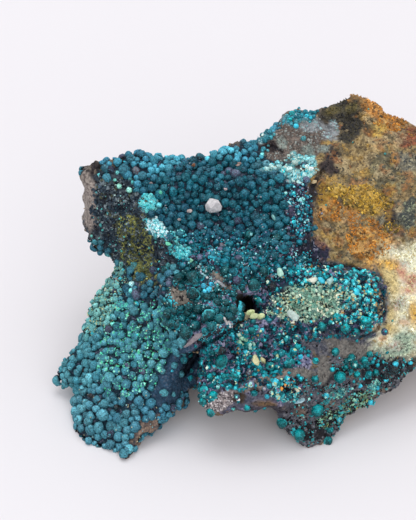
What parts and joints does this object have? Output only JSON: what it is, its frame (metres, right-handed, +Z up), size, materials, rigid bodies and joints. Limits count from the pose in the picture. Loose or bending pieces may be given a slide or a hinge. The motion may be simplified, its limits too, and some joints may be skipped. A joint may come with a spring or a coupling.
{
  "type": "chrysocolla on quartz specimen",
  "caption": "Craggy hand specimen of iron-stained quartz rock, its front and top crusted with small round blue-green chrysocolla beads, standing on worn flat feet.",
  "frame": {"origin": "on the surface it rests on, under the middle of the stone's box", "axes": "+Z up, +X along the stone's length towards its iron-stained end, -Y towards the crusted front"},
  "size_m": [0.0905, 0.0714, 0.0423],
  "materials": {
    "crusted_rock": "matte to waxy blue-green beads over rough grey, ochre-stained quartz rock"
  },
  "bodies": {
    "root": {"chrysocolla_on_quartz": "crusted_rock"}
  },
  "joints": []
}
